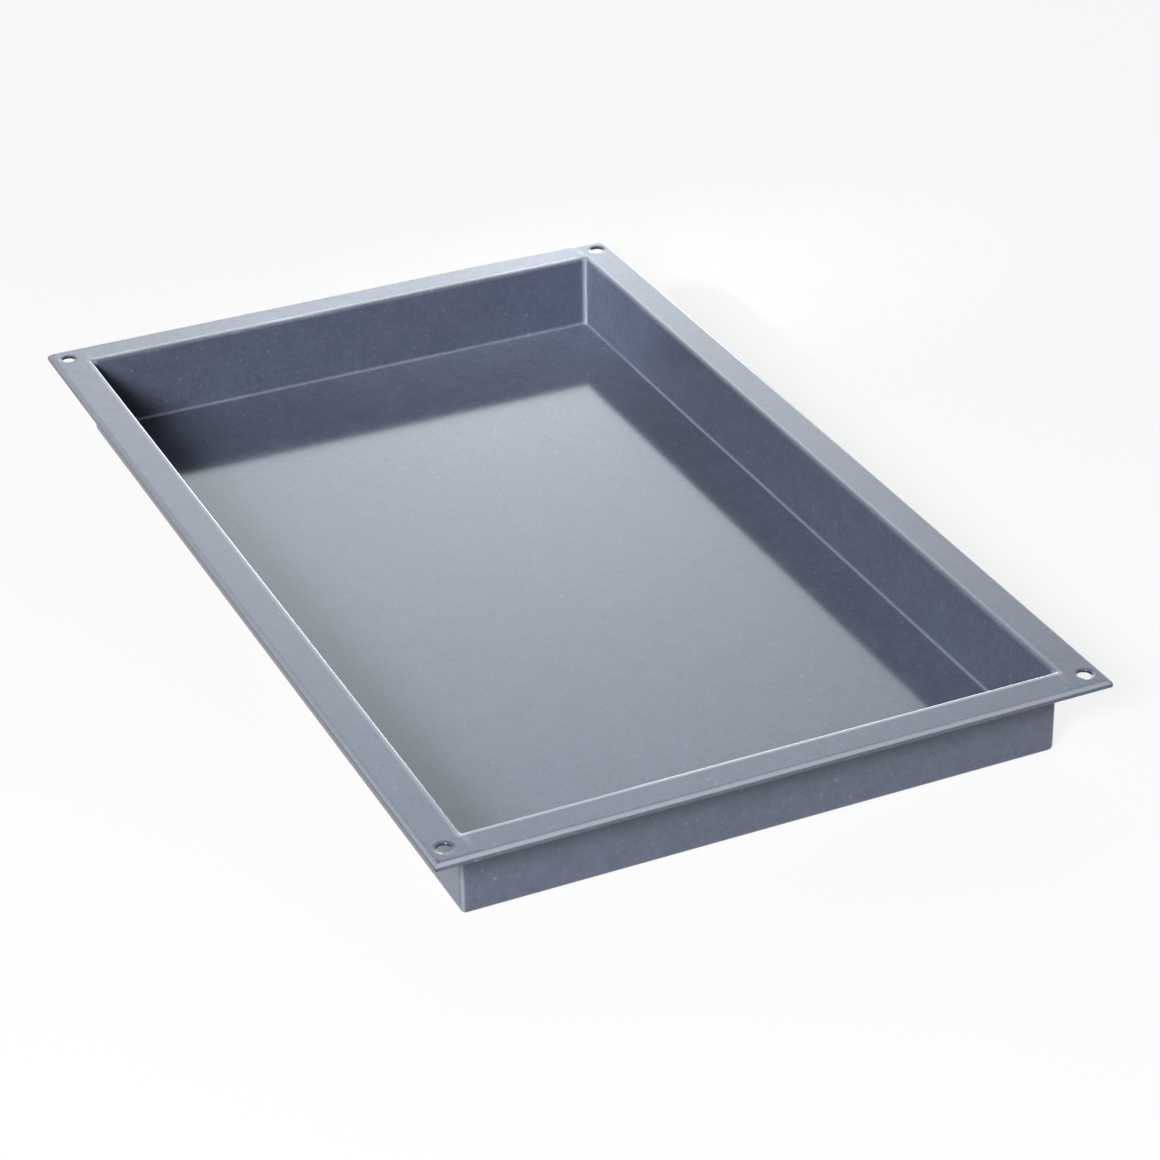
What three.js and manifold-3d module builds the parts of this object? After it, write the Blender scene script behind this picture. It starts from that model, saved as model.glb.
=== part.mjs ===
// Enamelled sheet-steel pan of the full gastronorm size, 40 mm deep inside.
// One steel blank is folded into floor, walls, flanges and turned-down lips, and its corners are welded shut.
// A dark ground coat and a speckled glass enamel are then fired on over every face.
// Millimetres. Z is up, X runs across the pan and Y along it, and the origin is under the middle of the base.

import * as THREE from 'three';
import { mergeVertices } from 'three/addons/utils/BufferGeometryUtils.js';
import Module from 'manifold-3d';

// Overall size, over the enamel, and the depth from the top of the flange down to the floor
const panLength = 530;
const panWidth = 325;
const insideDepth = 40;

// Rim: flanges from the outer edge to the inside of the wall, and the straight drop below the lip's fold
const sideFlangeWidth = 19.5;
const endFlangeWidth = 18.7;
const lipDrop = 1.3;

// Layers of the finished sheet, with the gap that keeps two layers apart
const steelThickness = 1;
const groundCoatThickness = 0.1;
const enamelThickness = 0.15;
const layerGap = 0.03;

// Folds: radius on the tight side, over the enamel, at the floor and at the rim and the lip
const floorFoldRadius = 1.5;
const rimFoldRadius = 0.4;

// Corners: radius inside the wall's corners, outside the lip's tips, on the flat of the flange above the tips,
// and the least that any ring keeps
const wallCornerRadius = 0.6;
const tipRadius = 0.9;
const flatTipRadius = 4;
const leastCorner = 0.2;

// Hanging holes in the four flange corners, measured over the enamel
const holeDiameter = 6.8;
const holeFromSideEdge = 8.5;
const holeFromEndEdge = 11;

// Welds: reach past the two faces of the wall at a corner, width of a flange seam, and gap to the blank
const cornerWeldReach = 1.5;
const flangeWeldWidth = 2;
const weldGap = 0.3;

// Fineness of the round stretches
const foldSteps = 3;
const cornerSteps = 3;
const holeSides = 24;

// How far a cutting box runs past the sheet
const cutMargin = 5;

// Worked out from the sizes above
const coatDepth = enamelThickness + groundCoatThickness + 2 * layerGap;
const sheetThickness = steelThickness + 2 * coatDepth;
const panHeight = insideDepth + sheetThickness;
const outerFoldRadius = rimFoldRadius + sheetThickness;
const lipBottom = panHeight - outerFoldRadius - lipDrop;
const edge = { x: panWidth / 2, y: panLength / 2 };
const wall = { x: edge.x - sideFlangeWidth, y: edge.y - endFlangeWidth };
const lipFoot = lipBottom + enamelThickness + layerGap;

// A layer's two faces lie at these depths below the inside face of the pan
const layers = {
  insideEnamel: [0, enamelThickness],
  insideGround: [enamelThickness + layerGap, coatDepth - layerGap],
  steel: [coatDepth, coatDepth + steelThickness],
  outsideGround: [sheetThickness - coatDepth + layerGap, sheetThickness - enamelThickness - layerGap],
  outsideEnamel: [sheetThickness - enamelThickness, sheetThickness],
};

const corners = [
  { name: 'front_left', x: -1, y: -1 },
  { name: 'front_right', x: 1, y: -1 },
  { name: 'back_left', x: -1, y: 1 },
  { name: 'back_right', x: 1, y: 1 },
];

const wasm = await Module();
wasm.setup();

// Rings: a rounded rectangle at height z, set outwards from a half size by an offset

function ring(half, offset, corner, z) {
  return { halfX: half.x + offset, halfY: half.y + offset, corner, z };
}

function ringPoints({ halfX, halfY, corner, z }) {
  const points = [];
  for (let quarter = 0; quarter < 4; quarter += 1) {
    const centreX = (halfX - corner) * (quarter === 0 || quarter === 3 ? 1 : -1);
    const centreY = (halfY - corner) * (quarter < 2 ? 1 : -1);
    for (let step = 0; step <= cornerSteps; step += 1) {
      const angle = (quarter + step / cornerSteps) * Math.PI / 2;
      points.push(centreX + corner * Math.cos(angle), centreY + corner * Math.sin(angle), z);
    }
  }
  return points;
}

const foldAngles = Array.from({ length: foldSteps + 1 }, (_, step) => step / foldSteps * Math.PI / 2);

// Corner radius part of the way round a fold, from the ring on the flat to the ring where the fold ends
function easedCorner(flatCorner, endCorner, angle) {
  return flatCorner + (endCorner - flatCorner) * Math.sin(angle);
}

function tipCorner(depth) {
  return Math.max(leastCorner, tipRadius - depth);
}

// The three folds of the sheet at a depth below its inside face
function floorFold(depth) {
  const radius = floorFoldRadius + depth;
  return foldAngles.map((angle) => ring(
    wall,
    radius * Math.sin(angle) - floorFoldRadius,
    easedCorner(leastCorner, wallCornerRadius + depth, angle),
    sheetThickness + floorFoldRadius - radius * Math.cos(angle),
  ));
}

function rimFold(depth) {
  const radius = outerFoldRadius - depth;
  return foldAngles.map((angle) => ring(
    wall,
    outerFoldRadius - radius * Math.cos(angle),
    wallCornerRadius + depth,
    panHeight - outerFoldRadius + radius * Math.sin(angle),
  ));
}

function lipFold(depth) {
  const radius = outerFoldRadius - depth;
  return foldAngles.map((angle) => ring(
    edge,
    radius * Math.sin(angle) - outerFoldRadius,
    easedCorner(flatTipRadius, tipCorner(depth), angle),
    panHeight - outerFoldRadius + radius * Math.cos(angle),
  ));
}

function lipRing(depth, z) {
  return ring(edge, -depth, tipCorner(depth), z);
}

// One face of the sheet from the edge of the floor to the end of the lip
function face(depth, lipEnd) {
  return [...floorFold(depth), ...rimFold(depth), ...lipFold(depth), lipRing(depth, lipEnd)];
}

// Skins over the rings: the last ring joins the first, or both ends close with a flat floor

function skin(rings, closing) {
  const position = rings.flatMap(ringPoints);
  const around = 4 * (cornerSteps + 1);
  const index = [];
  const joins = closing === 'loop' ? rings.length : rings.length - 1;
  for (let inner = 0; inner < joins; inner += 1) {
    const outer = (inner + 1) % rings.length;
    for (let side = 0; side < around; side += 1) {
      const next = (side + 1) % around;
      const [a, b] = [inner * around + side, inner * around + next];
      const [c, d] = [outer * around + side, outer * around + next];
      index.push(a, c, d, a, d, b);
    }
  }
  if (closing === 'floor') {
    const last = (rings.length - 1) * around;
    const top = position.length / 3;
    position.push(0, 0, rings[0].z, 0, 0, rings[rings.length - 1].z);
    for (let side = 0; side < around; side += 1) {
      const next = (side + 1) % around;
      index.push(top, side, next, top + 1, last + next, last + side);
    }
  }
  const geometry = new THREE.BufferGeometry();
  geometry.setAttribute('position', new THREE.Float32BufferAttribute(position, 3));
  geometry.setIndex(index);
  return geometry;
}

// Joins and cuts

function solid(geometry) {
  const bare = geometry.clone();
  bare.deleteAttribute('normal');
  bare.deleteAttribute('uv');
  const merged = mergeVertices(bare);
  return new wasm.Manifold(new wasm.Mesh({
    numProp: 3,
    vertProperties: new Float32Array(merged.attributes.position.array),
    triVerts: new Uint32Array(merged.index.array),
  }));
}

// A whole layer of the pan between two depths
function panLayer([upper, lower]) {
  return solid(skin([...face(upper, lipFoot), ...face(lower, lipFoot).reverse()], 'floor'));
}

function mesh(name, body, material) {
  const { numProp, vertProperties, triVerts } = body.getMesh();
  const geometry = new THREE.BufferGeometry();
  geometry.setAttribute('position', new THREE.Float32BufferAttribute(vertProperties, numProp));
  geometry.setIndex([...triVerts]);
  geometry.computeVertexNormals();
  const part = new THREE.Mesh(geometry, material);
  part.name = name;
  return part;
}

// A box through the full height of the pan in one of its corners, between two distances from the middle lines
function cornerBox(corner, fromX, toX, fromY, toY) {
  const box = new THREE.BoxGeometry(toX - fromX, toY - fromY, panHeight + 2 * cutMargin);
  box.translate(corner.x * (fromX + toX) / 2, corner.y * (fromY + toY) / 2, panHeight / 2);
  return solid(box);
}

// The four hanging holes, widened by what coats their walls
function withHoles(body, widening) {
  const radius = holeDiameter / 2 + widening;
  return corners.reduce((cut, corner) => {
    const drill = new THREE.CylinderGeometry(radius, radius, panHeight, holeSides);
    drill.rotateX(Math.PI / 2);
    drill.translate(corner.x * (edge.x - holeFromSideEdge), corner.y * (edge.y - holeFromEndEdge), panHeight);
    return cut.subtract(solid(drill));
  }, body);
}

// Finishes

function finish(name, color, roughness, metalness) {
  return new THREE.MeshStandardMaterial({ name, color, roughness, metalness });
}

const steel = finish('steel', 0x8d9298, 0.45, 1);
const weldSteel = finish('weld', 0x75777b, 0.55, 1);
const groundGlass = finish('ground_coat', 0x2b3038, 0.4, 0);
const enamelGlass = finish('enamel', 0x5a6372, 0.2, 0);

const pan = new THREE.Group();

// Steel: the folded sheet is cut at its corners into the blank and the welds that close it

const foldedSheet = withHoles(panLayer(layers.steel), coatDepth);
const wallBack = sheetThickness + cornerWeldReach;
const seamMiddle = wall.x + sheetThickness / 2;
const seamHalf = flangeWeldWidth / 2;
const lipWeldReach = outerFoldRadius + tipRadius;
const weldSlots = {
  corner_weld: [wall.x - cornerWeldReach, wall.x + wallBack, wall.y - cornerWeldReach, wall.y + wallBack],
  flange_weld: [seamMiddle - seamHalf, seamMiddle + seamHalf, wall.y + wallBack, edge.y + cutMargin],
  lip_weld: [edge.x - lipWeldReach, edge.x + cutMargin, edge.y - lipWeldReach, edge.y + cutMargin],
};

let blank = foldedSheet;
for (const corner of corners) {
  for (const [kind, [fromX, toX, fromY, toY]] of Object.entries(weldSlots)) {
    blank = blank.subtract(cornerBox(corner, fromX, toX, fromY, toY));
    const bead = cornerBox(corner, fromX + weldGap, toX - weldGap, fromY + weldGap, toY - weldGap);
    pan.add(mesh(`${kind}_${corner.name}`, foldedSheet.intersect(bead), weldSteel));
  }
}
pan.add(mesh('steel_blank', blank, steel));

// Ground coat: a thin dark glass against the steel, inside and outside

const groundHole = enamelThickness + layerGap;
pan.add(mesh('inside_ground_coat', withHoles(panLayer(layers.insideGround), groundHole), groundGlass));
pan.add(mesh('outside_ground_coat', withHoles(panLayer(layers.outsideGround), groundHole), groundGlass));

// Enamel: the glossy cover coat, which wraps the foot of the lip from outside

pan.add(mesh('inside_enamel', withHoles(panLayer(layers.insideEnamel), 0), enamelGlass));

const [outerBack, outerFace] = layers.outsideEnamel;
const wrapTop = lipBottom + enamelThickness;
const outsideCoat = solid(skin([
  ...face(outerBack, wrapTop),
  lipRing(0, wrapTop),
  lipRing(0, lipBottom),
  ...face(outerFace, lipBottom).reverse(),
], 'loop'));
pan.add(mesh('outside_enamel', withHoles(outsideCoat, 0), enamelGlass));

// Base enamel: the flat underside that the pan stands on, up to where the floor's fold begins

const baseInset = -floorFoldRadius - layerGap;
const baseRings = [enamelThickness, 0].map((z) => ring(wall, baseInset, leastCorner, z));
pan.add(mesh('base_enamel', solid(skin(baseRings, 'floor')), enamelGlass));

export default pan;
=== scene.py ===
import bpy
import numpy as np
from mathutils import Matrix, Vector


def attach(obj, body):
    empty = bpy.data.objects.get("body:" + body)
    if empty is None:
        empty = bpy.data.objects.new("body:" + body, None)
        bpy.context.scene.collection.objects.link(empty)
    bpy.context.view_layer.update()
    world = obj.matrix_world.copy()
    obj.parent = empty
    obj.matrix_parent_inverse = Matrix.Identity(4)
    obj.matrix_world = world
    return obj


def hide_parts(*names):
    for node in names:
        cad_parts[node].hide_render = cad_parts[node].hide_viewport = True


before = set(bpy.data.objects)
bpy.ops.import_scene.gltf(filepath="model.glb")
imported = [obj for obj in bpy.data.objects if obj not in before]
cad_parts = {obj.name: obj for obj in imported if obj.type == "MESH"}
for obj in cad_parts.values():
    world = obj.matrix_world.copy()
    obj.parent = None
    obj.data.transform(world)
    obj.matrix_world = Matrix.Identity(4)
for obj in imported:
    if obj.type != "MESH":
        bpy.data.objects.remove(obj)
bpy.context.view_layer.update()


# Steel blank: one sheet of 1 mm low-carbon steel, cut out at the corners and folded into floor, walls, flanges and
# lips. It is cold-rolled along the pan and pickled, so it is matt, faintly streaked and clouded. Enamel hides it.

steel_dark, steel_light = (0.23, 0.24, 0.25, 1.0), (0.40, 0.41, 0.42, 1.0)
along_the_roll = (1.0, 0.02, 1.0)
streaks_per_metre, steel_clouds_per_metre = 1500.0, 40.0
streak_height = 4e-6


class Socket:
    """One socket of a material's nodes. Sums and products of sockets and numbers add Math nodes."""

    def __init__(self, tree, socket=None):
        self.tree = tree
        self.socket = socket

    def node(self, kind, settings=None, inputs=None, output=0):
        """Adds a node of a kind, applies its settings, fills or links its inputs and gives one of its outputs."""
        made = self.tree.nodes.new(kind)
        for name, setting in (settings or {}).items():
            setattr(made, name, setting)
        for key, value in (inputs or {}).items():
            if isinstance(value, Socket):
                self.tree.links.new(value.socket, made.inputs[key])
            else:
                made.inputs[key].default_value = value
        return Socket(self.tree, made.outputs[output])

    def feed(self, shader, name):
        """Links this socket to one of a shader's own inputs."""
        self.tree.links.new(self.socket, shader.inputs[name])

    def __add__(self, other):
        return self.node("ShaderNodeMath", {"operation": "ADD"}, {0: self, 1: other})

    def __sub__(self, other):
        return self.node("ShaderNodeMath", {"operation": "SUBTRACT"}, {0: self, 1: other})

    def __rsub__(self, other):
        return self.node("ShaderNodeMath", {"operation": "SUBTRACT"}, {0: other, 1: self})

    def __mul__(self, other):
        return self.node("ShaderNodeMath", {"operation": "MULTIPLY"}, {0: self, 1: other})

    def __abs__(self):
        return self.node("ShaderNodeMath", {"operation": "ABSOLUTE"}, {0: self})

    __radd__ = __add__
    __rmul__ = __mul__


def new_finish(name):
    """A new material, its Principled shader and the Object coordinates that its patterns read, in metres."""
    material = bpy.data.materials.new(name)
    material.use_nodes = True
    tree = material.node_tree
    place = Socket(tree).node("ShaderNodeTexCoord", output="Object")
    return material, tree.nodes["Principled BSDF"], place


def stretched(place, factors):
    """Coordinates times a factor for each axis. A small factor draws a pattern out along its axis."""
    return place.node("ShaderNodeVectorMath", {"operation": "MULTIPLY"}, {0: place, 1: factors})


def noise(place, per_metre, detail=2.0, roughness=0.5):
    """Soft noise from 0 to 1 with that many waves in a metre."""
    return place.node(
        "ShaderNodeTexNoise",
        inputs={"Vector": place, "Scale": per_metre, "Detail": detail, "Roughness": roughness},
    )


def fade(value, zero_at, one_at):
    """0 at one value and 1 at another, with a smooth step between them."""
    return value.node(
        "ShaderNodeMapRange",
        {"interpolation_type": "SMOOTHSTEP"},
        {"Value": value, "From Min": zero_at, "From Max": one_at},
    )


def blend(factor, first, second):
    """The first colour where the factor is 0 and the second where it is 1."""
    return factor.node("ShaderNodeMix", {"data_type": "RGBA"}, {0: factor, 6: first, 7: second}, output=2)


def relief(height):
    """A bumped normal for a height in metres."""
    return height.node("ShaderNodeBump", inputs={"Strength": 1.0, "Distance": 1.0, "Height": height})


def put_on(material, *nodes):
    """Gives CAD nodes a material."""
    for node in nodes:
        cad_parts[node].material_slots[0].material = material


rolled_steel, shader, place = new_finish("rolled_steel")
streaks = noise(stretched(place, along_the_roll), streaks_per_metre, detail=3.0)
clouds = noise(place, steel_clouds_per_metre, detail=4.0)
blend(0.6 * clouds + 0.4 * streaks, steel_dark, steel_light).feed(shader, "Base Color")
(0.34 + 0.12 * streaks + 0.1 * clouds).feed(shader, "Roughness")
relief(streak_height * streaks).feed(shader, "Normal")
shader.inputs["Metallic"].default_value = 1.0
put_on(rolled_steel, "steel_blank")


# Welds: the beads that close the four corners, the four flange seams and the lips, run in after folding and then
# ground flush. They are the same steel, straw and blue from the heat, with the cross marks of the grinding.

weld_kinds = ("corner_weld", "flange_weld", "lip_weld")
corner_names = ("front_left", "front_right", "back_left", "back_right")
straw_heat, blue_heat = (0.30, 0.26, 0.20, 1.0), (0.19, 0.20, 0.25, 1.0)
bright_scratch = (0.45, 0.45, 0.45, 1.0)
across_the_bead = (0.05, 1.0, 1.0)
scratches_per_metre, heat_per_metre = 2600.0, 220.0
scratch_height = 8e-6

ground_weld, shader, place = new_finish("ground_weld")
scratches = noise(stretched(place, across_the_bead), scratches_per_metre, detail=2.0)
heat = fade(noise(place, heat_per_metre, detail=3.0), 0.35, 0.65)
tint = blend(heat, straw_heat, blue_heat)
blend(0.35 * scratches, tint, bright_scratch).feed(shader, "Base Color")
(0.38 + 0.2 * scratches).feed(shader, "Roughness")
relief(scratch_height * scratches).feed(shader, "Normal")
shader.inputs["Metallic"].default_value = 1.0
put_on(ground_weld, *(f"{kind}_{corner}" for kind in weld_kinds for corner in corner_names))


# Ground coat: the first firing, a tenth of a millimetre of blue-black glass that bonds to the steel on both sides.
# It is duller than the cover coat and full of pinhead bubbles. The cover coat hides it.

ground_black, ground_blue = (0.010, 0.013, 0.020, 1.0), (0.030, 0.036, 0.048, 1.0)
bubbles_per_metre, ground_clouds_per_metre = 900.0, 120.0
pit_depth = 10e-6

ground_glass, shader, place = new_finish("ground_glass")
bubbles = place.node(
    "ShaderNodeTexVoronoi", inputs={"Vector": place, "Scale": bubbles_per_metre}, output="Distance"
)
pit = fade(bubbles, 0.32, 0.12)
clouds = noise(place, ground_clouds_per_metre, detail=3.0)
blend(clouds, ground_black, ground_blue).feed(shader, "Base Color")
(0.30 + 0.15 * clouds + 0.2 * pit).feed(shader, "Roughness")
relief(-pit_depth * pit).feed(shader, "Normal")
put_on(ground_glass, "inside_ground_coat", "outside_ground_coat")


# Enamel: the cover coat, a slate blue-grey glass with pale specks, dipped and fired in one skin over every face.
# It runs from the floor over the rim and the lip, back under the flange and down to the base, and lines the holes.

# Sizes in millimetres: the inner wall faces, the outline over the lips, the folds and the corners
mm = 0.001
pan_height = 41.62
half_width, half_length = 162.5, 265.0
wall_x, wall_y = 143.0, 246.3
sheet = 1.62
floor_radius = 1.5
rim_radius = 0.4 + sheet
wall_corner, tip_corner, flat_tip_corner, least_corner = 0.6, 0.9, 4.0, 0.2
lip_foot = 38.30
foot_rounding = 0.5
rim_corner_growth = 0.6
hole_x, hole_y, hole_radius = 154.0, 254.0, 3.4
hole_rounding = 0.7

# Where the straight runs of a ring end and its corner stretch starts, and the steps along and across the sheet
straight_x, straight_y = 140.5, 243.0
long_steps, short_steps, lead_steps, bend_steps = 10, 7, 3, 6
corner_steps = 2 * lead_steps + bend_steps
fold_steps, foot_steps, hole_steps = 8, 4, 5
wall_rings, flange_rings = 4, 3
floor_shares = (0.02, 0.3, 0.6, 0.9, 0.985, 0.997)
hole_shares = (0.3, 0.6, 0.85, 0.96)
hole_evenness = 0.65


def arc(steps):
    """Angles of a quarter turn, from 0 to a right angle."""
    return np.linspace(0.0, np.pi / 2, steps + 1)


def rings(half_x, half_y, offset, corner, z):
    """Rows of ring sizes: half width and half length, each set out by the offset, then corner radius and height."""
    sizes = np.broadcast_arrays(half_x + offset, half_y + offset, corner, z)
    return np.stack(sizes, axis=1).astype(float)


def section(depth):
    """The sheet's section at a depth below its inside face, as rings from the edge of the floor to the lip's fold.

    Each fold is a quarter circle: at the floor its radius grows with the depth, at the rim and the lip it shrinks.
    The corner radius eases from the ring on the flat to the one at the wall or the lip.
    """
    angle = arc(fold_steps)
    inner = floor_radius + depth
    outer = rim_radius - depth
    floor_fold = rings(
        wall_x, wall_y, inner * np.sin(angle) - floor_radius,
        least_corner + (wall_corner + depth - least_corner) * np.sin(angle),
        sheet + floor_radius - inner * np.cos(angle),
    )
    rim_offset = rim_radius - outer * np.cos(angle)
    rim_fold = rings(
        wall_x, wall_y, rim_offset,
        wall_corner + depth + rim_corner_growth * (rim_offset - rim_offset[0]),
        pan_height - rim_radius + outer * np.sin(angle),
    )
    tip = max(least_corner, tip_corner - depth)
    lip_fold = rings(
        half_width, half_length, outer * np.sin(angle) - rim_radius,
        flat_tip_corner + (tip - flat_tip_corner) * np.sin(angle),
        pan_height - rim_radius + outer * np.cos(angle),
    )
    return floor_fold, rim_fold, lip_fold


def between(first, last, steps, margin=0.4):
    """Rings part of the way between two rings: one a margin from each end, and even steps between those."""
    reach = np.abs(last - first).max()
    share = np.linspace(margin / reach, 1.0 - margin / reach, steps)[:, None]
    return (1.0 - share) * first + share * last


def shrunk(ring, *shares):
    """A ring drawn in towards the middle by each share of its size, at the same height."""
    scale = np.array(shares)[:, None] * np.array([1.0, 1.0, 1.0, 0.0]) + np.array([0.0, 0.0, 0.0, 1.0])
    return ring * scale


def quarter(rows):
    """Points of one quarter of every ring, from the middle of its long side to the middle of its short side.

    The ring is a rounded rectangle: straight up to the corner stretch, a lead, a quarter circle, a lead, straight.
    """
    half_x, half_y, corner, z = rows.T[:, :, None]
    reach = np.minimum(1.0, half_x / wall_x)
    start_y, start_x = straight_y * reach, straight_x * reach
    t_long = np.linspace(0.0, 1.0, long_steps + 1)[:-1]
    t_short = np.linspace(0.0, 1.0, short_steps + 1)
    t_lead = np.linspace(0.0, 1.0, lead_steps + 1)[:-1]
    bend = arc(bend_steps)[:-1]
    x = np.hstack([
        half_x + 0.0 * t_long,
        half_x + 0.0 * t_lead,
        half_x - corner + corner * np.cos(bend),
        half_x - corner + (start_x - half_x + corner) * t_lead,
        start_x * (1.0 - t_short),
    ])
    y = np.hstack([
        start_y * t_long,
        start_y + (half_y - corner - start_y) * t_lead,
        half_y - corner + corner * np.sin(bend),
        half_y + 0.0 * t_lead,
        half_y + 0.0 * t_short,
    ])
    return np.stack([x, y, z + 0.0 * x], axis=2)


def whole(part):
    """The four mirrored quarters joined into closed rings, counter-clockwise from above."""
    back = part[:, :0:-1]
    forth = part[:, :-1]
    return np.hstack([forth, back * (-1, 1, 1), forth * (-1, -1, 1), back * (1, -1, 1)])


floor_in, rim_in, lip_in = section(0.0)
floor_out, rim_out, lip_out = section(sheet)
foot_angle = arc(foot_steps)
foot_outer = rings(
    half_width, half_length, foot_rounding * (np.cos(foot_angle) - 1.0),
    tip_corner + foot_rounding * (np.cos(foot_angle) - 1.0),
    lip_foot + foot_rounding * (1.0 - np.sin(foot_angle)),
)
foot_inner = rings(
    half_width, half_length, foot_rounding * (1.0 - np.sin(foot_angle)) - sheet,
    least_corner + foot_rounding * (1.0 - np.sin(foot_angle)),
    lip_foot + foot_rounding * (1.0 - np.cos(foot_angle)),
)
stretches = [
    shrunk(floor_in[0], *floor_shares), floor_in,
    between(floor_in[-1], rim_in[0], wall_rings), rim_in,
    between(rim_in[-1], lip_in[0], flange_rings), lip_in,
    foot_outer, foot_inner, lip_out[::-1],
    between(lip_out[0], rim_out[-1], flange_rings), rim_out[::-1],
    between(rim_out[0], floor_out[-1], wall_rings), floor_out[::-1],
    shrunk(floor_out[0], *floor_shares[::-1]),
]
flange_top, flange_under = 4, 9
starts = np.cumsum([0] + [len(stretch) for stretch in stretches])
skin = whole(quarter(np.vstack(stretches)))
row_count, ring_count = skin.shape[:2]
index = np.arange(row_count * ring_count).reshape(row_count, ring_count)

# Corner stretches of a ring, where a flange has a hole, and the rows at its inner and outer edges on both faces
quarter_count = ring_count // 4
ahead = long_steps + np.arange(corner_steps + 1)
corner_columns = np.stack([
    ahead,
    2 * quarter_count - ahead[::-1],
    2 * quarter_count + ahead,
    4 * quarter_count - ahead[::-1],
])
corner_sides = ((1, 1), (-1, 1), (-1, -1), (1, -1))
top_rows = np.arange(starts[flange_top] - 1, starts[flange_top + 1] + 1)
under_rows = np.arange(starts[flange_under] - 1, starts[flange_under + 1] + 1)[::-1]


def hole_edge(rows, columns):
    """Vertices round a flange corner, counter-clockwise from above: outer ring, line, inner ring, line.

    Each run leaves out the vertex that it shares with the run before it.
    """
    return np.hstack([
        index[rows[-1], columns],
        index[rows[-2::-1], columns[-1]],
        index[rows[0], columns[-2::-1]],
        index[rows[1:-1], columns[0]],
    ])


def hole_rows(top, under, centre):
    """Rows of points from the top edge of a flange corner into its hole and out to the under edge.

    On the two faces a point runs straight from the edge to a circle; the circle's angles lie between the edge's own
    and even ones. Through the sheet the radius follows a quarter circle, the throat and a quarter circle.
    """
    away = top[:, :2] - centre
    angle = np.unwrap(np.arctan2(away[:, 1], away[:, 0]))
    even = np.linspace(0.0, 2.0 * np.pi, len(angle), endpoint=False)
    even += np.mean(angle - even)
    angle = (1.0 - hole_evenness) * angle + hole_evenness * even
    circle = np.stack([np.cos(angle), np.sin(angle)], axis=1)
    turn = arc(hole_steps)
    radius = hole_radius + hole_rounding * np.hstack([1.0 - np.sin(turn), 1.0 - np.cos(turn)])
    drop = hole_rounding * np.hstack([1.0 - np.cos(turn), sheet / hole_rounding - 1.0 + np.sin(turn)])
    throat = np.dstack([
        centre + radius[:, None, None] * circle,
        np.broadcast_to((pan_height - drop)[:, None, None], (len(drop), len(angle), 1)),
    ])
    share = np.array(hole_shares)[:, None, None]
    above = (1.0 - share) * top + share * throat[0]
    below = (share * throat[-1] + (1.0 - share) * under)[::-1]
    return np.vstack([above, throat, below])


points = skin.reshape(-1, 3)
holes = []
for columns, side in zip(corner_columns, corner_sides):
    top_edge = hole_edge(top_rows, columns)
    under_edge = hole_edge(under_rows, columns)
    rows = hole_rows(points[top_edge], points[under_edge], np.array([hole_x, hole_y]) * side)
    inside = len(points) + np.arange(rows.shape[0] * rows.shape[1]).reshape(rows.shape[:2])
    points = np.vstack([points, rows.reshape(-1, 3)])
    holes.append(np.vstack([top_edge, inside, under_edge]))


def quads(lower, upper):
    """Faces between two lines of vertices that close on themselves."""
    following = np.roll(np.arange(lower.shape[-1]), -1)
    return np.stack([lower, upper, upper[..., following], lower[..., following]], axis=-1)


ring_faces = quads(index[:-1], index[1:])
keep = np.ones(ring_faces.shape[:2], dtype=bool)
for rows in (top_rows, under_rows):
    keep[np.ix_(np.sort(rows)[:-1], corner_columns[:, :-1].ravel())] = False
hole_faces = [quads(edges[1:], edges[:-1]).reshape(-1, 4) for edges in holes]
square_faces = np.vstack([ring_faces[keep], *hole_faces])

# The floor and the base each close in a fan round one middle point
middles = len(points) + np.arange(2)
points = np.vstack([points, [[0.0, 0.0, sheet], [0.0, 0.0, 0.0]]])
next_along = np.roll(index, -1, axis=1)
fans = np.vstack([
    np.stack([np.full(ring_count, middles[0]), index[0], next_along[0]], axis=1),
    np.stack([np.full(ring_count, middles[1]), next_along[-1], index[-1]], axis=1),
])
skin_mesh = bpy.data.meshes.new("enamel_coat")
skin_mesh.from_pydata((points * mm).tolist(), [], square_faces.tolist() + fans.tolist())
skin_mesh.shade_smooth()
enamel_coat = bpy.data.objects.new("enamel_coat", skin_mesh)
bpy.context.collection.objects.link(enamel_coat)

# Fired glass: mottled slate with two sizes of soft pale specks, paler on the flange seams and down the outer
# corner.
# Painted highlights lie in the inner corner, along the fold at the floor and over the bends of the rim and the lip.
# Painted shade darkens the lip's face and edge, the foot of the outer wall and the hole walls.
slate_deep, slate_light = (0.083, 0.100, 0.151, 1.0), (0.117, 0.138, 0.202, 1.0)
speck_pale = (0.28, 0.32, 0.40, 1.0)
seam_and_highlight_pale, bend_highlight_pale = (0.26, 0.29, 0.345, 1.0), (0.42, 0.46, 0.52, 1.0)
shade_dark = (0.018, 0.022, 0.030, 1.0)
clouds_per_metre, mottle_per_metre = 65.0, 300.0
fine_per_metre, fine_radius = 260.0, 0.0008
large_per_metre, large_radius = 120.0, 0.0012
waves_per_metre, wave_height = 9.0, 35e-6
peel_per_metre, peel_height = 190.0, 2.5e-6
speck_height, seam_height, hole_depth = 2e-6, 40e-6, 150e-6
glass_ior = 1.52


def specks(place, per_metre, radius):
    """Soft dots of a radius in metres, at the points of a random lattice with that many cells in a metre."""
    cells = {"Vector": place, "Scale": per_metre}
    distance = place.node("ShaderNodeTexVoronoi", inputs=cells, output="Distance")
    return fade(distance, radius * per_metre, 0.2 * radius * per_metre)


def ridge(value, start, full, fading, end):
    """0 up to a start, 1 from full to fading and 0 again past an end, with smooth steps between them."""
    return fade(value, start, full) * fade(value, end, fading)


def farther(first, second):
    """The larger of two values."""
    return first.node("ShaderNodeMath", {"operation": "MAXIMUM"}, {0: first, 1: second})


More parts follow.
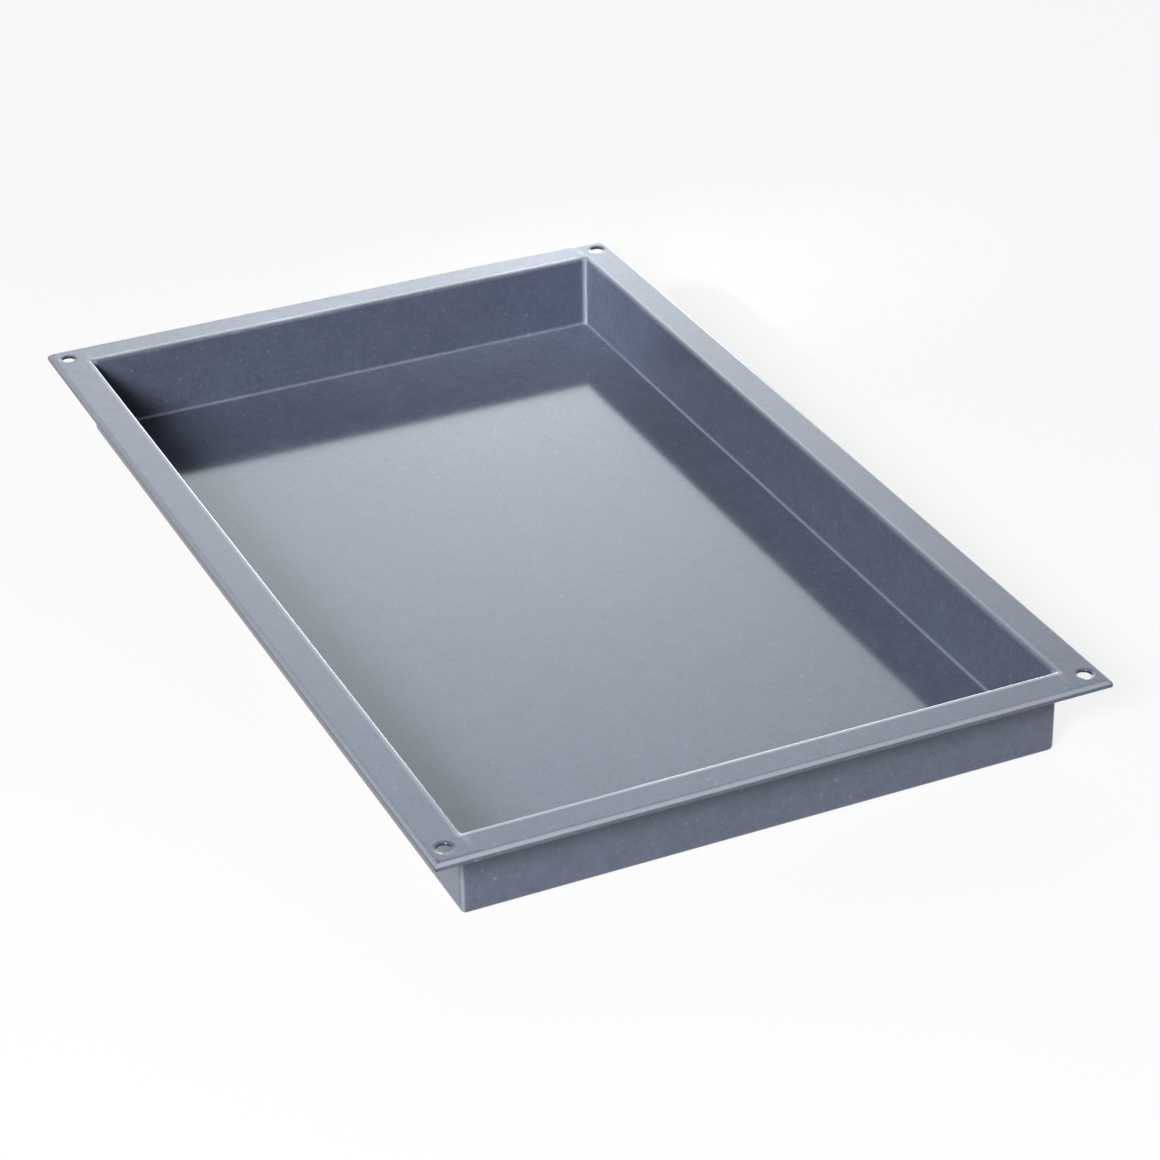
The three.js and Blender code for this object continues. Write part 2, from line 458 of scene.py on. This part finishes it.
fired_enamel, shader, place = new_finish("fired_enamel")

# Distances in millimetres: from the pan's middle planes, above the base, outside the inner wall faces, outside the
# outline, and from the axis of the nearest hole. The ends are the short sides, up to the middle of each corner.
in_mm = place.node("ShaderNodeVectorMath", {"operation": "SCALE"}, {0: place, "Scale": 1.0 / mm})
x_mm, y_mm, height = (in_mm.node("ShaderNodeSeparateXYZ", inputs={0: in_mm}, output=axis) for axis in "XYZ")
across, along = abs(x_mm), abs(y_mm)
beyond_x, beyond_y = across - wall_x, along - wall_y
from_wall = farther(beyond_x, beyond_y)
from_edge = farther(across - half_width, along - half_length)
in_plan = place.node("ShaderNodeCombineXYZ", inputs={"X": across, "Y": along})
from_hole = place.node(
    "ShaderNodeVectorMath", {"operation": "DISTANCE"},
    {0: in_plan, 1: (hole_x, hole_y, 0.0)}, output="Value",
)
at_the_ends = fade(along - across, 102.0, 104.5)

# Seams: along the flange in line with the wall, and outside the wall's corner. Inside the wall's corner a pale line
# is a painted highlight
flange_seam = fade(abs(beyond_x - 0.8), 3.0, 0.0) * ridge(beyond_y, 1.1, 2.7, 5.7, 15.7)
inner_corner_highlight = ridge(beyond_x, -2.8, -0.5, 0.1, 0.9) * ridge(beyond_y, -2.8, -0.5, 0.1, 0.9)
outer_corner = ridge(beyond_x, -0.2, 0.8, 2.0, 2.5) * fade(beyond_y, -0.2, 0.8) * fade(height, 39.6, 38.6)

# Painted highlights on the bends: the fold at the floor, the rim and the top of the lip
floor_fold_highlight = ridge(from_wall, -1.6, -0.8, -0.3, 0.1) * ridge(height, 1.1, 1.6, 2.4, 3.2)
rim_highlight = ridge(from_wall, 0.4, 1.4, 2.7, 3.7) * fade(height, 39.6, 40.6)
lip_highlight = fade(from_edge, -2.2, -1.2) * fade(height, 39.9, 40.7)

# Painted shade on the lip's face and lower edge, the foot of the outer wall and the wall of a hole; and the slope
# of a hole
lip_shade = fade(from_edge, -3.0, -2.0) * fade(height, 40.4, 39.4)
foot_shade = fade(height, 1.5, 0.6) * fade(from_wall, -1.0, 0.0)
hole_wall_shade = fade(from_hole, 3.7, 3.5)
hole_slope = fade(from_hole, 5.2, 3.8)

clouds = noise(place, clouds_per_metre, detail=4.0, roughness=0.6)
mottle = fade(noise(place, mottle_per_metre, detail=3.0, roughness=0.8), 0.3, 0.7)
fine_specks = specks(place, fine_per_metre, fine_radius)
large_specks = specks(place, large_per_metre, large_radius)
slate = blend(0.35 * fade(clouds, 0.3, 0.7) + 0.65 * mottle, slate_deep, slate_light)
specked = blend(0.25 * fine_specks + 0.35 * large_specks, slate, speck_pale)
# The seam colour also paints the highlight in the inner corner and along the fold at the floor
seams_and_highlights = inner_corner_highlight + 0.9 * outer_corner + 0.4 * flange_seam + 0.3 * floor_fold_highlight
# Painted highlights on the bends of the rim and the lip, stronger on the short ends, and in the inner corner
bend_highlights = rim_highlight * (0.3 + 0.5 * at_the_ends) + lip_highlight * (0.42 + 0.28 * at_the_ends) + 0.3 * inner_corner_highlight
# Painted shade on the hole walls, the foot of the outer wall and the lip's face, deeper on the long sides
painted_shade = hole_wall_shade + 0.8 * foot_shade + lip_shade * (0.95 - 0.85 * at_the_ends)
seamed_and_highlighted = blend(seams_and_highlights, specked, seam_and_highlight_pale)
bend_highlighted = blend(bend_highlights, seamed_and_highlighted, bend_highlight_pale)
blend(painted_shade, bend_highlighted, shade_dark).feed(shader, "Base Color")
(0.095 + 0.03 * clouds + 0.02 * large_specks).feed(shader, "Roughness")
waves = wave_height * noise(place, waves_per_metre, detail=1.0)
peel = peel_height * noise(place, peel_per_metre, detail=1.0)
raised = waves + peel + speck_height * large_specks + seam_height * flange_seam - hole_depth * hole_slope
relief(raised).feed(shader, "Normal")
shader.inputs["IOR"].default_value = glass_ior
enamel_coat.data.materials.append(fired_enamel)
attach(enamel_coat, "root")
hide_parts("inside_enamel", "outside_enamel", "base_enamel")


# Studio: a pale paper floor that runs out of the picture and keeps the pan's shadow, and dim light from all round.
# A key lamp stands in front on the left, and a narrow lamp on the left lights the far corner. A wide wall, a glow
# and a strip stand behind the pan, where its glossy flanges and floor mirror them.

pure_white, paper_grey = (1.0, 1.0, 1.0, 1.0), (0.55, 0.55, 0.55, 1.0)
floor_reach = 6.0
backdrop_glow = 0.85
air_level = 0.02


def looking(tree):
    """1 for a ray that the camera sees directly, in a gloss or through glass, and 0 for a ray that only lights."""
    ray = Socket(tree)
    kinds = ("Camera", "Glossy", "Transmission")
    seen = [ray.node("ShaderNodeLightPath", output=f"Is {kind} Ray") for kind in kinds]
    return fade(seen[0] + seen[1] + seen[2], 0.0, 1.0)


floor_mesh = bpy.data.meshes.new("studio_floor")
floor_corners = [(x * floor_reach, y * floor_reach, 0.0) for x, y in ((-1, -1), (1, -1), (1, 1), (-1, 1))]
floor_mesh.from_pydata(floor_corners, [], [(0, 1, 2, 3)])
studio_floor = bpy.data.objects.new("studio_floor", floor_mesh)
bpy.context.collection.objects.link(studio_floor)
pale_floor = bpy.data.materials.new("pale_floor")
pale_floor.use_nodes = True
tree = pale_floor.node_tree
tree.nodes.remove(tree.nodes["Principled BSDF"])
paper = Socket(tree).node("ShaderNodeBsdfDiffuse", inputs={"Color": paper_grey})
white = paper.node("ShaderNodeEmission", inputs={"Color": pure_white, "Strength": 1.0})
pale_paper = paper.node("ShaderNodeBsdfDiffuse", inputs={"Color": pure_white})
backdrop = paper.node("ShaderNodeMixShader", inputs={0: backdrop_glow, 1: pale_paper, 2: white})
floor_shader = paper.node("ShaderNodeMixShader", inputs={0: looking(tree), 1: paper, 2: backdrop})
floor_shader.feed(tree.nodes["Material Output"], "Surface")
floor_mesh.materials.append(pale_floor)

world = bpy.data.worlds.new("studio_air")
bpy.context.scene.world = world
world.use_nodes = True
tree = world.node_tree
tree.nodes.remove(tree.nodes["Background"])
dim = Socket(tree).node("ShaderNodeBackground", inputs={"Color": pure_white, "Strength": air_level})
bright = dim.node("ShaderNodeBackground", inputs={"Color": pure_white, "Strength": 1.0})
air = dim.node("ShaderNodeMixShader", inputs={0: looking(tree), 1: dim, 2: bright})
air.feed(tree.nodes["World Output"], "Surface")


def soft_box(name, stand, aim, width, height, power, tint=(1.0, 1.0, 1.0), spread=180.0):
    """A rectangular lamp that stands at one point and is turned to another. The camera doesn't see it."""
    lamp = bpy.data.lights.new(name, "AREA")
    lamp.shape = "RECTANGLE"
    lamp.size = width
    lamp.size_y = height
    lamp.energy = power
    lamp.color = tint
    lamp.spread = np.radians(spread)
    box = bpy.data.objects.new(name, lamp)
    turned = (Vector(aim) - Vector(stand)).to_track_quat("-Z", "Y").to_matrix().to_4x4()
    box.matrix_world = Matrix.Translation(stand) @ turned
    box.visible_camera = False
    bpy.context.collection.objects.link(box)


cool, pale = (0.74, 0.88, 1.0), (0.88, 0.96, 1.0)
soft_box("key_box", (-1.540, -1.595, 1.359), (0.0, 0.0, 0.0), 0.7, 0.7, 78.0)
soft_box("corner_box", (-1.98, 0.12, 1.2), (0.11, 0.26, 0.02), 0.15, 0.15, 0.11, spread=5.0)
soft_box("rear_wall", (1.016, 2.393, 1.2), (0.0, 0.0, 1.2), 4.5, 2.4, 35.0, cool)
soft_box("rear_glow", (0.885, 2.096, 1.11), (0.0, 0.0, 0.02), 2.4, 2.4, 0.70, pale, spread=24.0)
soft_box("rear_strip", (1.45, 2.4, 0.52), (1.45, 0.0, 0.52), 0.95, 1.0, 17.0, pale)


# Camera: at the photograph's viewing angle, on the left in front of the pan and above it, with a long lens 1.7 m
# from the pan's middle. It leans by about one degree, as the photograph does.

eye = np.array([-0.5870, -1.3503, 0.8431])
azimuth, elevation, roll = np.radians([-24.37, 29.86, -1.06])
sensor_width, focal_length = 36.0, 107.18
back = np.array([
    np.sin(azimuth) * np.cos(elevation), -np.cos(azimuth) * np.cos(elevation), np.sin(elevation),
])
level = np.array([np.cos(azimuth), np.sin(azimuth), 0.0])
upright = np.cross(back, level)
right = np.cos(roll) * level + np.sin(roll) * upright
up = np.cos(roll) * upright - np.sin(roll) * level
turned_and_placed = np.vstack([np.stack([right, up, back, eye], axis=1), [0.0, 0.0, 0.0, 1.0]])
lens = bpy.data.cameras.new("camera")
lens.sensor_width = sensor_width
lens.lens = focal_length
camera = bpy.data.objects.new("camera", lens)
camera.matrix_world = Matrix(turned_and_placed.tolist())
bpy.context.collection.objects.link(camera)
bpy.context.scene.camera = camera
bpy.context.scene.view_settings.view_transform = "Standard"
